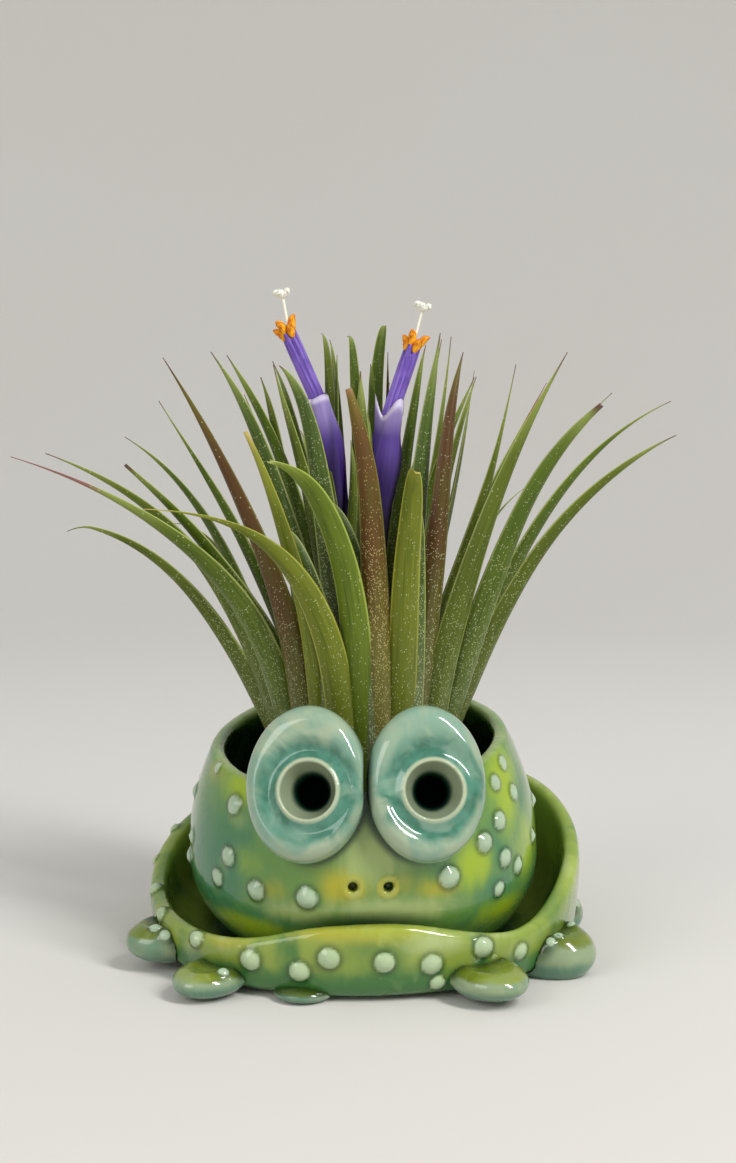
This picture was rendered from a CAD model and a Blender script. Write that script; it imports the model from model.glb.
"""An air plant in a small glazed pot: the finished looks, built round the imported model."""

import logging
import math
import random
from dataclasses import dataclass, field
from enum import Enum
from typing import Callable, Sequence

import bmesh
import bpy
import numpy as np
from mathutils import Matrix, Vector, noise
from mathutils.bvhtree import BVHTree


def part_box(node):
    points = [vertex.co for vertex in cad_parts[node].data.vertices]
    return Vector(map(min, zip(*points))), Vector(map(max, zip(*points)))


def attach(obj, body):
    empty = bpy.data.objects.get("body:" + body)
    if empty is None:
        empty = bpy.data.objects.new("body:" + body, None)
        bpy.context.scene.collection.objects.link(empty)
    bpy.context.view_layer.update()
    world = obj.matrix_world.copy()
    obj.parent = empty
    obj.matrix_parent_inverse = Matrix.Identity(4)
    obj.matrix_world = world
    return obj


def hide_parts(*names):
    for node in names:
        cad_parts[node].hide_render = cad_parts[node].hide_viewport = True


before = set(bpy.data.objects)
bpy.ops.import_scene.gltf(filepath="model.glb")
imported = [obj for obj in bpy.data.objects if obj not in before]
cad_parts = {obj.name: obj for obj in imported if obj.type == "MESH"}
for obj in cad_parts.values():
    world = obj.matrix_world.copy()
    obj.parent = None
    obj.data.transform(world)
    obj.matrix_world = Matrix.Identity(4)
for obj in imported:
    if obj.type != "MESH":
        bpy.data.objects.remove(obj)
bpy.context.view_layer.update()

MM = 0.001
FULL_TURN = math.tau
HOLDER = "holder"
PLANT = "air_plant"
SEED = 7
MERGE = 0.001 * MM
SEAM = 0.0005 * MM
DROP_SPREAD = 0.86
DROP_RISE = 0.60

logging.basicConfig(level=logging.INFO, format="%(message)s")
log = logging.getLogger("air plant holder")

Colour = tuple[float, float, float, float]
Span = tuple[float, float]
Spot = tuple[float, float, float]
Tree = bpy.types.NodeTree
Socket = bpy.types.NodeSocket


def colour(red: int, green: int, blue: int) -> Colour:
    """A screen colour of 0 to 255 as the plain light values that shaders take.

    Args:
        red: Share of red.
        green: Share of green.
        blue: Share of blue.

    Returns:
        The colour with a full alpha.
    """
    straight_end, straight_slope, shift, power = 0.04045, 12.92, 0.055, 2.4

    def light(step: int) -> float:
        """One channel as light, by the usual screen curve."""
        share = step / 255
        if share <= straight_end:
            return share / straight_slope
        return ((share + shift) / (1 + shift)) ** power

    return light(red), light(green), light(blue), 1.0


def ease(values: np.ndarray, low: float, high: float) -> np.ndarray:
    """A soft step from 0 at low to 1 at high.

    Args:
        values: Any numbers.
        low: Where the step starts.
        high: Where it ends, below low for a falling step.

    Returns:
        Numbers from 0 to 1.
    """
    share = np.clip((values - low) / (high - low), 0, 1)
    return share * share * (3 - 2 * share)


@dataclass(frozen=True)
class Fade:
    """A soft step over some measure: none at the start, its full strength at the end."""

    start: float
    end: float
    strength: float = 1.0

    def on(self, values: np.ndarray) -> np.ndarray:
        """The step's strength at each value."""
        return ease(values, self.start, self.end) * self.strength


def through(values: Sequence[float], share: float) -> float:
    """A smooth run through evenly spaced values.

    Args:
        values: The values, from the start to the end.
        share: Place along them, from 0 to 1.

    Returns:
        The value there.
    """
    place = min(max(share, 0.0), 1.0) * (len(values) - 1)
    index = min(int(place), len(values) - 2)
    rest = place - index
    before = values[max(index - 1, 0)]
    here = values[index]
    after = values[index + 1]
    beyond = values[min(index + 2, len(values) - 1)]
    slope_here = (after - before) / 2
    slope_after = (beyond - here) / 2
    cube = rest ** 3
    square = rest ** 2
    return (
        (2 * cube - 3 * square + 1) * here
        + (cube - 2 * square + rest) * slope_here
        + (3 * square - 2 * cube) * after
        + (cube - square) * slope_after
    )


def on_turn(turn: float, reach: float, level: float) -> Vector:
    """A point at a share of a turn round the pot's axis, counted from the right.

    Args:
        turn: Share of a whole turn.
        reach: Distance from the axis.
        level: Height.

    Returns:
        The point.
    """
    angle = FULL_TURN * turn
    return Vector((reach * math.cos(angle), reach * math.sin(angle), level))


class Wiring:
    """Short words for adding and joining the shader nodes of one tree."""

    def __init__(self, tree: Tree) -> None:
        """Keeps the tree that the nodes go into."""
        self.tree = tree

    def add(self, kind: str, **settings: object) -> bpy.types.Node:
        """A new node with its settings.

        Args:
            kind: The node's type.
            settings: Properties to set on it.

        Returns:
            The node.
        """
        node = self.tree.nodes.new(kind)
        for name, value in settings.items():
            setattr(node, name, value)
        return node

    def feed(self, target: Socket, source: object) -> None:
        """Links a socket to a source, or sets it to a plain value."""
        if isinstance(source, bpy.types.NodeSocket):
            self.tree.links.new(source, target)
        else:
            target.default_value = source

    def number(self, name: str) -> Socket:
        """The number that a piece's attribute holds at each point."""
        return self.add("ShaderNodeAttribute", attribute_name=name).outputs["Fac"]

    def vector(self, name: str) -> Socket:
        """The vector that a piece's attribute holds at each point."""
        return self.add("ShaderNodeAttribute", attribute_name=name).outputs["Vector"]

    def place(self) -> Socket:
        """The point in the object's own metres."""
        return self.add("ShaderNodeTexCoord").outputs["Object"]

    def stretched(self, vector: object, scale: Spot) -> Socket:
        """A vector with its three axes stretched apart."""
        node = self.add("ShaderNodeMapping")
        self.feed(node.inputs["Vector"], vector)
        node.inputs["Scale"].default_value = scale
        return node.outputs["Vector"]

    def clouds(
        self, vector: object, scale: float, detail: float = 3, distortion: float = 0,
    ) -> Socket:
        """Soft noise from 0 to 1.

        Args:
            vector: Where it is read.
            scale: Clouds per unit.
            detail: Number of finer layers.
            distortion: How far the clouds are stirred.

        Returns:
            The noise.
        """
        node = self.add("ShaderNodeTexNoise")
        self.feed(node.inputs["Vector"], vector)
        node.inputs["Scale"].default_value = scale
        node.inputs["Detail"].default_value = detail
        node.inputs["Distortion"].default_value = distortion
        return node.outputs["Fac"]

    def cells(self, vector: object, scale: float) -> tuple[Socket, Socket]:
        """Round cells: the distance from each cell's middle, and a random colour per cell."""
        node = self.add("ShaderNodeTexVoronoi")
        self.feed(node.inputs["Vector"], vector)
        node.inputs["Scale"].default_value = scale
        return node.outputs["Distance"], node.outputs["Color"]

    def sum(self, operation: str, first: object, second: object = 0.0) -> Socket:
        """One sum of two numbers."""
        node = self.add("ShaderNodeMath", operation=operation)
        self.feed(node.inputs[0], first)
        self.feed(node.inputs[1], second)
        return node.outputs[0]

    def times(self, first: object, second: object) -> Socket:
        """The product of two numbers."""
        return self.sum("MULTIPLY", first, second)

    def step(
        self, value: object, low: object, high: object, start: float = 0.0, end: float = 1.0,
    ) -> Socket:
        """A soft step of a number.

        Args:
            value: The number.
            low: Where the step starts.
            high: Where it ends, below low for a falling step.
            start: What comes out before it.
            end: What comes out after it.

        Returns:
            The stepped number.
        """
        node = self.add("ShaderNodeMapRange", interpolation_type="SMOOTHSTEP")
        self.feed(node.inputs["Value"], value)
        self.feed(node.inputs["From Min"], low)
        self.feed(node.inputs["From Max"], high)
        self.feed(node.inputs["To Min"], start)
        self.feed(node.inputs["To Max"], end)
        return node.outputs["Result"]

    def blend(self, share: object, first: object, second: object, how: str = "MIX") -> Socket:
        """A colour between two colours.

        Args:
            share: 0 for the first, 1 for the second.
            first: A colour or a link.
            second: A colour or a link.
            how: Blender's blend type.

        Returns:
            The mixed colour.
        """
        share_in, first_in, second_in, colour_out = 0, 6, 7, 2
        node = self.add("ShaderNodeMix", data_type="RGBA", blend_type=how)
        self.feed(node.inputs[share_in], share)
        self.feed(node.inputs[first_in], first)
        self.feed(node.inputs[second_in], second)
        return node.outputs[colour_out]

    def dress(
        self, colour_from: Socket, height: Socket, relief: float, strength: float = 1.0,
    ) -> bpy.types.Node:
        """Feeds a colour and a relief to the tree's Principled shader.

        Args:
            colour_from: The surface's colour.
            height: The pattern that stands proud.
            relief: How far it stands proud.
            strength: How strongly it shows.

        Returns:
            The shader, for its other sockets.
        """
        shader = self.tree.nodes["Principled BSDF"]
        bump = self.add("ShaderNodeBump")
        bump.inputs["Distance"].default_value = relief
        bump.inputs["Strength"].default_value = strength
        self.feed(bump.inputs["Height"], height)
        self.feed(shader.inputs["Base Color"], colour_from)
        self.feed(shader.inputs["Normal"], bump.outputs["Normal"])
        return shader


def new_finish(name: str) -> tuple[bpy.types.Material, Wiring]:
    """A new material with the wiring of its nodes."""
    made = bpy.data.materials.new(name)
    made.use_nodes = True
    return made, Wiring(made.node_tree)


@dataclass(frozen=True)
class Port:
    """One named socket of a shader group."""

    name: str
    kind: str
    start: object = None


def new_group(
    name: str, ports_in: Sequence[Port], ports_out: Sequence[Port],
) -> tuple[Tree, Wiring]:
    """A shader group with its sockets.

    Args:
        name: The group's name.
        ports_in: Sockets that go in.
        ports_out: Sockets that come out.

    Returns:
        The group and the wiring of its inside.
    """
    group = bpy.data.node_groups.new(name, "ShaderNodeTree")
    for ports, way in ((ports_in, "INPUT"), (ports_out, "OUTPUT")):
        for port in ports:
            socket = group.interface.new_socket(port.name, in_out=way, socket_type=port.kind)
            if port.start is not None:
                socket.default_value = port.start
    return group, Wiring(group)


COLOUR_PORT = "NodeSocketColor"
NUMBER_PORT = "NodeSocketFloat"
VECTOR_PORT = "NodeSocketVector"
SURFACE_PORTS = (
    Port("Color", COLOUR_PORT),
    Port("Roughness", NUMBER_PORT),
    Port("Height", NUMBER_PORT),
)


class GlazeFlow:
    """The effect of a thick, streaky glaze: runs of tones, pools in hollows, pale spots."""

    tones = ("Main", "Cool", "Warm", "Bright", "Pool", "Pale", "Dot")
    shares = ("Cool", "Warm", "Bright", "Pool", "Pale", "Dot", "Ring")
    cloud_scale = 62.0
    cloud_stir = 1.2
    streak_scale = 95.0
    streak_stir = 2.0
    layers = 4
    fine_scale = 420.0
    fine_layers = 2
    peel_scale = 260.0
    flow_stretch = (1.0, 1.0, 0.38)
    break_up = 0.85
    break_start = 0.35
    broken_edge = (0.12, 0.95)
    pale_edge = (0.1, 0.9)
    cool_clouds = (0.48, 0.76)
    hair_streaks = (0.54, 0.74)
    hair_share = 0.2
    ring_share = 0.65
    mottle_range = (0.3, 0.75, 0.82, 1.1)
    mottle_shade = (0.6, 0.66, 0.6, 1)
    rough_range = (0.3, 0.7, 0.16, 0.3)

    def __init__(self) -> None:
        """Builds the group once."""
        ports = [Port("Place", VECTOR_PORT)]
        ports += [Port(tone, COLOUR_PORT) for tone in self.tones]
        ports += [Port(f"{tone} Share", NUMBER_PORT, 0.0) for tone in self.shares]
        self.group, wires = new_group("glaze flow", ports, SURFACE_PORTS)
        given = wires.add("NodeGroupInput").outputs
        flow = wires.stretched(given["Place"], self.flow_stretch)
        clouds = wires.clouds(flow, self.cloud_scale, self.layers, self.cloud_stir)
        streaks = wires.clouds(flow, self.streak_scale, self.layers, self.streak_stir)
        fine = wires.clouds(given["Place"], self.fine_scale, self.fine_layers)
        stirred = wires.times(wires.sum("SUBTRACT", streaks, 0.5), self.break_up)

        def broken(name: str, edge: Span = self.broken_edge) -> Socket:
            """A given share with a stirred edge."""
            moved = wires.times(stirred, wires.step(given[name], 0.0, self.break_start))
            return wires.step(wires.sum("ADD", given[name], moved), *edge)

        tone = wires.blend(wires.step(clouds, *self.cool_clouds), given["Main"], given["Cool"])
        tone = wires.blend(broken("Cool Share"), tone, given["Cool"])
        tone = wires.blend(broken("Warm Share"), tone, given["Warm"])
        tone = wires.blend(broken("Bright Share"), tone, given["Bright"])
        hair = wires.times(wires.step(streaks, *self.hair_streaks), self.hair_share)
        tone = wires.blend(hair, tone, given["Pale"])
        tone = wires.blend(broken("Pale Share", self.pale_edge), tone, given["Pale"])
        ring = wires.times(given["Ring Share"], self.ring_share)
        tone = wires.blend(wires.sum("MAXIMUM", given["Pool Share"], ring), tone, given["Pool"])
        mottle = wires.step(fine, *self.mottle_range)
        shade = wires.blend(mottle, self.mottle_shade, (1, 1, 1, 1))
        dot = wires.blend(1.0, given["Dot"], shade, "MULTIPLY")
        tone = wires.blend(given["Dot Share"], tone, dot)
        made = wires.add("NodeGroupOutput").inputs
        wires.feed(made["Color"], tone)
        wires.feed(made["Roughness"], wires.step(clouds, *self.rough_range))
        wires.feed(made["Height"], wires.clouds(given["Place"], self.peel_scale, self.fine_layers))


@dataclass(frozen=True)
class Glaze:
    """One glaze of the pot: its tones and the record's slot that it stands for."""

    name: str
    slot: str
    main: Colour
    cool: Colour
    warm: Colour
    bright: Colour
    pool: Colour
    pale: Colour
    dot: Colour = colour(164, 186, 156)
    coat_roughness: float = 0.04
    coat_weight: float = 0.9
    under_shine: float = 0.15
    bump_height: float = 0.05 * MM

    def material(self, flow: GlazeFlow) -> bpy.types.Material:
        """The finish with its shader nodes.

        Args:
            flow: The glaze effect that it places.

        Returns:
            The material.
        """
        made, wires = new_finish(self.name)
        effect = wires.add("ShaderNodeGroup", node_tree=flow.group)
        wires.feed(effect.inputs["Place"], wires.place())
        for tone in flow.tones:
            effect.inputs[tone].default_value = getattr(self, tone.lower())
        for tone in flow.shares:
            wires.feed(effect.inputs[f"{tone} Share"], wires.number(tone.lower()))
        shader = wires.dress(effect.outputs["Color"], effect.outputs["Height"], self.bump_height)
        wires.feed(shader.inputs["Roughness"], effect.outputs["Roughness"])
        shader.inputs["Coat Weight"].default_value = self.coat_weight
        shader.inputs["Coat Roughness"].default_value = self.coat_roughness
        shader.inputs["Specular IOR Level"].default_value = self.under_shine
        return made


BODY_GLAZE = Glaze(
    "variegated body glaze", "body_glaze",
    main=colour(94, 134, 60), cool=colour(52, 112, 74), warm=colour(162, 156, 26),
    bright=colour(146, 170, 30), pool=colour(8, 46, 18), pale=colour(148, 166, 100),
)
MOUTH_GLAZE = Glaze(
    "yellow green mouth glaze", "mouth_glaze",
    main=colour(130, 150, 60), cool=colour(58, 108, 50), warm=colour(168, 158, 44),
    bright=colour(150, 170, 60), pool=colour(12, 50, 18), pale=colour(172, 186, 126),
    dot=colour(168, 188, 148),
)
TOE_GLAZE = Glaze(
    "toe glaze", "toe_glaze",
    main=colour(134, 152, 116), cool=colour(84, 124, 100), warm=colour(94, 110, 10),
    bright=colour(128, 142, 36), pool=colour(34, 54, 12), pale=colour(176, 184, 152),
)


class ClayPiece:
    """A skin of glazed clay over copies of CAD nodes, with numbers painted on its points."""

    def __init__(self, name: str, nodes: Sequence[str], grain: float, rounds: int) -> None:
        """Makes the skin.

        Args:
            name: The piece's name.
            nodes: CAD nodes that it covers and stands for.
            grain: Size of the skin's mesh.
            rounds: How often it is relaxed.
        """
        self.nodes = tuple(nodes)
        shape = bmesh.new()
        shape.from_mesh(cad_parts[nodes[0]].data)
        for node in nodes[1:]:
            add_drops(shape, nodes[0], node)
        self.finish_shape(name, shape, grain, rounds)

    def finish_shape(self, name: str, shape: bmesh.types.BMesh, grain: float, rounds: int) -> None:
        """Merges the copied shape, lays an even skin over it and relaxes it."""
        bmesh.ops.remove_doubles(shape, verts=shape.verts, dist=MERGE)
        mesh = bpy.data.meshes.new(name)
        shape.to_mesh(mesh)
        shape.free()
        self.piece = bpy.data.objects.new(name, mesh)
        bpy.context.scene.collection.objects.link(self.piece)
        skin = self.piece.modifiers.new("skin", "REMESH")
        skin.mode = "VOXEL"
        skin.voxel_size = grain
        relax = self.piece.modifiers.new("relax", "SMOOTH")
        relax.factor = 0.5
        relax.iterations = rounds
        graph = bpy.context.evaluated_depsgraph_get()
        made = bpy.data.meshes.new_from_object(self.piece.evaluated_get(graph))
        self.piece.modifiers.clear()
        self.piece.data = made
        made.name = name
        made.materials.clear()
        bpy.data.meshes.remove(mesh)
        made.shade_smooth()
        self.read()

    def read(self) -> None:
        """Reads the points, normals and edges of the mesh."""
        mesh = self.piece.data
        count = len(mesh.vertices)
        self.points = np.zeros(count * 3)
        mesh.vertices.foreach_get("co", self.points)
        self.points = self.points.reshape(-1, 3)
        self.normals = np.zeros(count * 3)
        mesh.vertex_normals.foreach_get("vector", self.normals)
        self.normals = self.normals.reshape(-1, 3)
        edges = np.zeros(len(mesh.edges) * 2, dtype=np.int64)
        mesh.edges.foreach_get("vertices", edges)
        self.edges = edges.reshape(-1, 2)

    def write(self) -> None:
        """Writes the points back to the mesh."""
        self.piece.data.vertices.foreach_set("co", self.points.astype(np.float32).ravel())
        self.piece.data.update()
        self.read()

    def averaged(self, values: np.ndarray, rounds: int) -> np.ndarray:
        """Values averaged with their neighbours a number of times."""
        count = len(self.points)
        first, second = self.edges.T
        links = np.bincount(first, minlength=count) + np.bincount(second, minlength=count)
        links = np.maximum(links, 1)
        flat = values.reshape(count, -1).copy()
        for _ in range(rounds):
            for column in range(flat.shape[1]):
                own = flat[:, column]
                near = np.bincount(first, own[second], count)
                near = near + np.bincount(second, own[first], count)
                flat[:, column] = 0.5 * own + 0.5 * near / links
        return flat.reshape(values.shape)

    def ridges(self, rounds: int) -> np.ndarray:
        """How far each point stands proud of its smoothed surroundings, in metres."""
        return ((self.points - self.averaged(self.points, rounds)) * self.normals).sum(1)

    def away_from(self, nodes: Sequence[str], most: float) -> np.ndarray:
        """Distance of each point from CAD nodes, up to a most."""
        found = np.full(len(self.points), most)
        for node in nodes:
            tree = tree_of(node)
            low, high = (np.array(corner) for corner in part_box(node))
            inside = ((self.points > low - most) & (self.points < high + most)).all(1)
            for index in np.nonzero(inside)[0]:
                hit = tree.find_nearest(Vector(self.points[index]), most)
                if hit[3] is not None:
                    found[index] = min(found[index], hit[3])
        return found

    def stir(self, height: float, size: float) -> None:
        """Moves the surface in and out a little, as a hand leaves it.

        Args:
            height: Greatest move.
            size: Size of the waves.
        """
        waves = np.array([noise.noise(Vector(point) / size) for point in self.points])
        self.points += self.normals * (waves * height)[:, None]
        self.write()

    def paint(self, name: str, values: np.ndarray) -> None:
        """Keeps one share per point, from 0 to 1, under a name that the glaze reads."""
        self.note(name, np.clip(values, 0, 1))

    def note(self, name: str, values: np.ndarray) -> None:
        """Keeps one number per point, of any size, under a name that the glaze reads."""
        layer = self.piece.data.attributes.new(name, "FLOAT", "POINT")
        layer.data.foreach_set("value", values.astype(np.float32))

    def hand_over(self, material: bpy.types.Material, slot: str, body: str = HOLDER) -> None:
        """Gives the piece its finish and its place in the frame."""
        self.piece.data.materials.append(material)
        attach(self.piece, body)
        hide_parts(*self.nodes)
        log.info("%s: %d faces", self.piece.name, len(self.piece.data.polygons))


def tree_of(node: str) -> BVHTree:
    """A search tree over the faces of a CAD node."""
    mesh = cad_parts[node].data
    corners = [vertex.co for vertex in mesh.vertices]
    return BVHTree.FromPolygons(corners, [face.vertices for face in mesh.polygons])


def add_drops(
    shape: bmesh.types.BMesh, ground: str, node: str, kept: Callable[[Vector], bool] = bool,
) -> None:
    """Adds the lumps of a node to a shape, each settled into the ground as a soft drop of clay.

    Args:
        shape: The shape that grows.
        ground: The CAD node that the drops sit on.
        node: The CAD node whose lumps they are.
        kept: Says by its middle whether a lump is added.
    """
    surface = tree_of(ground)
    drops = bmesh.new()
    drops.from_mesh(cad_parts[node].data)
    bmesh.ops.remove_doubles(drops, verts=drops.verts, dist=MERGE)
    for lump in lumps_of(drops):
        middle = sum((vertex.co for vertex in lump), Vector()) / len(lump)
        if not kept(middle):
            bmesh.ops.delete(drops, geom=lump, context="VERTS")
            continue
        seat, outwards, _, _ = surface.find_nearest(middle)
        for vertex in lump:
            away = vertex.co - seat
            rise = away.dot(outwards)
            vertex.co = seat + (away - outwards * rise) * DROP_SPREAD + outwards * rise * DROP_RISE
    made = bpy.data.meshes.new("drops")
    drops.to_mesh(made)
    drops.free()
    shape.from_mesh(made)
    bpy.data.meshes.remove(made)


def lumps_of(shape: bmesh.types.BMesh) -> list[list[bmesh.types.BMVert]]:
    """The separate lumps of a shape, as lists of their points."""
    left = dict.fromkeys(shape.verts)
    found = []
    while left:
        stack = [left.popitem()[0]]
        lump = []
        while stack:
            vertex = stack.pop()
            lump.append(vertex)
            for edge in vertex.link_edges:
                other = edge.other_vert(vertex)
                if other in left:
                    del left[other]
                    stack.append(other)
        found.append(lump)
    return found


def islands(node: str) -> list[tuple[np.ndarray, float]]:
    """The separate lumps of a CAD node.

    Args:
        node: The node's name.

    Returns:
        The middle and the greatest half side of each lump.
    """
    shape = bmesh.new()
    shape.from_mesh(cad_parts[node].data)
    bmesh.ops.remove_doubles(shape, verts=shape.verts, dist=MERGE)
    found = []
    for lump in lumps_of(shape):
        points = np.array([vertex.co for vertex in lump])
        low, high = points.min(0), points.max(0)
        found.append(((low + high) / 2, (high - low).max() / 2))
    shape.free()
    return sorted(found, key=lambda lump: tuple(lump[0].round(5)))


@dataclass(frozen=True)
class Run:
    """A run of one tone in the glaze: its attribute, and its middle and spread in mm."""

    tone: str
    middle: Spot
    spread: Spot
    strength: float = 1.0

    def on(self, points: np.ndarray) -> np.ndarray:
        """How strong the run is at each point, given in metres."""
        away = (points / MM - np.array(self.middle)) / np.array(self.spread)
        return self.strength * np.exp(-(away ** 2).sum(1))


BODY_RUNS = (
    Run("cool", (-34, -22, 26), (14, 24, 16), 1.0),
    Run("cool", (-22, -34, 16), (12, 12, 4), 0.8),
    Run("cool", (-36, 0, 14), (10, 24, 12), 0.7),
    Run("cool", (30, -26, 32), (4, 14, 12), 0.9),
    Run("cool", (29, -28, 21), (6, 14, 4.5), 0.9),
    Run("cool", (35, -18, 38), (2.6, 14, 8), 0.9),
    Run("cool", (38, -6, 16), (6, 14, 12), 0.7),
    Run("cool", (20, 34, 26), (16, 14, 16), 0.8),
    Run("cool", (-24, 30, 12), (14, 14, 10), 0.8),
    Run("warm", (-4, -40, 24.5), (6.5, 14, 5), 0.95),
    Run("warm", (8, -40, 25), (5, 14, 4), 0.5),
    Run("warm", (-19, -35, 22), (5, 10, 3.5), 0.5),
    Run("warm", (-31, -16, 44), (5, 8, 5), 0.5),
    Run("warm", (16, -38, 23), (6, 12, 3.2), 0.8),
    Run("warm", (28, 26, 20), (7, 10, 10), 0.6),
    Run("warm", (-14, 36, 40), (9, 10, 6), 0.6),
    Run("bright", (24, -34, 27), (5, 14, 6), 1.0),
    Run("bright", (31, -22, 43), (4.5, 12, 13), 0.95),
    Run("bright", (36, -12, 27), (4, 14, 9), 0.8),
    Run("bright", (31, -24, 15), (8, 14, 3.5), 0.8),
    Run("bright", (-27, -26, 43), (6.5, 8, 6.5), 0.95),
    Run("bright", (-24, -30, 27), (4, 8, 5), 0.5),
    Run("bright", (-35, 10, 30), (8, 12, 12), 0.6),
    Run("bright", (0, 38, 36), (14, 10, 8), 0.6),
    Run("bright", (-26, -30, 12), (14, 14, 3.2), 0.9),
    Run("pale", (-14, -38, 18), (12, 10, 3), 0.8),
    Run("pale", (8, -40, 19), (18, 10, 3.2), 0.95),
    Run("pale", (1.7, -40, 31), (9, 14, 7), 0.8),
    Run("pale", (-27, -28, 36), (4, 8, 3), 0.5),
)

MOUTH_RUNS = (
    Run("bright", (6, -47, 17), (30, 14, 4), 0.6),
    Run("bright", (46, 0, 20), (8, 30, 5), 0.8),
    Run("bright", (-47, 4, 16), (6, 10, 6), 0.5),
    Run("warm", (-4, -46, 16.5), (22, 12, 3.5), 0.85),
    Run("warm", (-32, -38, 13), (9, 9, 3), 0.9),
    Run("warm", (22, -44, 16), (8, 10, 3), 0.6),
    Run("warm", (-20, 46, 18), (12, 10, 4), 0.6),
    Run("pale", (-37, -30, 19), (9, 12, 3), 0.85),
    Run("pale", (-20, -44, 17), (5, 12, 3), 0.6),
    Run("pale", (16, -46, 13), (7, 10, 3), 0.75),
    Run("pale", (30, -38, 15), (9, 10, 3), 0.8),
    Run("pale", (44, -14, 21), (5, 14, 3), 0.6),
    Run("cool", (-14, -49, 6), (12, 8, 4), 0.95),
    Run("cool", (12, -48, 6), (20, 8, 3.2), 0.85),
    Run("cool", (-48, 6, 8), (6, 20, 5), 0.6),
    Run("cool", (10, 48, 12), (24, 8, 6), 0.8),
)


@dataclass(frozen=True)
class EyePlace:
    """Where one eye sits: its node, middle, turn, lean and pupil, in mm and degrees."""

    node: str
    middle: Spot
    turn_degrees: float
    lean_degrees: float = -18.0
    half_thickness: float = 4.5
    face_depth: float = 9.0
    pupil: tuple[float, float] = (1.2, -1.6)

    def way(self) -> np.ndarray:
        """The eye's own axes as columns: to the right, inwards and up."""
        turn = Matrix.Rotation(math.radians(self.turn_degrees), 3, "Z")
        lean = Matrix.Rotation(math.radians(self.lean_degrees), 3, "X")
        return np.array(turn @ lean)

    def local(self, points: np.ndarray) -> np.ndarray:
        """Points in metres as millimetres in the eye's own axes, with its face at depth 0."""
        way = self.way()
        start = np.array(self.middle) + way @ np.array((0, self.half_thickness, 0))
        own = (points / MM - start) @ way
        own[:, 1] += self.face_depth
        return own


class EyeFinish:
    """The pale glaze of an eye, by reach from the pupil's middle and depth, both in mm."""

    pillow = colour(126, 158, 137)
    cloud = colour(152, 168, 140)
    shade = colour(72, 128, 108)
    deep_shade = colour(50, 106, 84)
    cream = colour(184, 190, 156)
    cup = colour(134, 146, 118)
    core = colour(2, 6, 4)
    core_edge = colour(20, 62, 44)
    edge = colour(98, 138, 124)
    seam = colour(8, 40, 28)
    cloud_scale = 90.0
    fine_scale = 340.0
    peel_scale = 240.0
    relief = 0.05 * MM
    cloud_range = (0.4, 0.65)
    edge_share = 0.85
    hollow_start = (6.4, 7.2)
    hollow_end = (13.0, 9.6)
    hollow_wander = 7.0
    hollow_patches = (0.32, 0.5, 0.35, 1.0)
    hollow_grain = (0.35, 0.7)
    rim_start = (5.7, 6.0)
    rim_end = (7.1, 6.5)
    rim_share = 0.62
    cup_edge = (6.2, 5.9)
    cup_depth = (0.2, 0.9)
    wall_range = (4.7, 3.7)
    core_range = (4.0, 3.1)
    dull_range = (4.5, 3.3)
    dull_roughness = 0.7
    shine_range = (0.3, 0.7, 0.14, 0.26)
    under_shine = 0.15
    coat_roughness = 0.03

    def material(self) -> bpy.types.Material:
        """The finish with its shader nodes."""
        made, wires = new_finish("celadon eye glaze")
        place = wires.place()
        clouds = wires.clouds(place, self.cloud_scale, detail=3, distortion=1.0)
        fine = wires.clouds(place, self.fine_scale, detail=2)
        reach = wires.number("reach")
        tone = wires.blend(wires.step(clouds, *self.cloud_range), self.pillow, self.cloud)
        tone = wires.blend(wires.times(wires.number("side"), self.edge_share), tone, self.edge)
        wander = wires.times(wires.sum("SUBTRACT", clouds, 0.5), self.hollow_wander)
        hollow = wires.times(
            wires.step(reach, *self.hollow_start),
            wires.step(wires.sum("ADD", reach, wander), *self.hollow_end),
        )
        patchy = wires.times(hollow, wires.step(clouds, *self.hollow_patches))
        shade = wires.blend(wires.step(fine, *self.hollow_grain), self.shade, self.deep_shade)
        tone = wires.blend(patchy, tone, shade)
        rim = wires.times(wires.step(reach, *self.rim_start), wires.step(reach, *self.rim_end))
        tone = wires.blend(wires.times(rim, self.rim_share), tone, self.cream)
        inside = wires.times(
            wires.step(reach, *self.cup_edge),
            wires.step(wires.number("depth"), *self.cup_depth),
        )
        wall = wires.blend(wires.step(reach, *self.wall_range), self.cup, self.core_edge)
        wall = wires.blend(wires.step(reach, *self.core_range), wall, self.core)
        tone = wires.blend(inside, tone, wall)
        tone = wires.blend(wires.number("seam"), tone, self.seam)
        dull = wires.times(inside, wires.step(reach, *self.dull_range))
        peel = wires.clouds(place, self.peel_scale, detail=2)
        shader = wires.dress(tone, peel, self.relief)
        wires.feed(shader.inputs["Metallic"], dull)
        wires.feed(shader.inputs["Coat Weight"], wires.sum("SUBTRACT", 1.0, dull))
        shine = wires.step(clouds, *self.shine_range)
        rough = wires.sum("ADD", shine, wires.times(dull, self.dull_roughness))
        wires.feed(shader.inputs["Roughness"], rough)
        shader.inputs["Specular IOR Level"].default_value = self.under_shine
        shader.inputs["Coat Roughness"].default_value = self.coat_roughness
        return made


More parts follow.
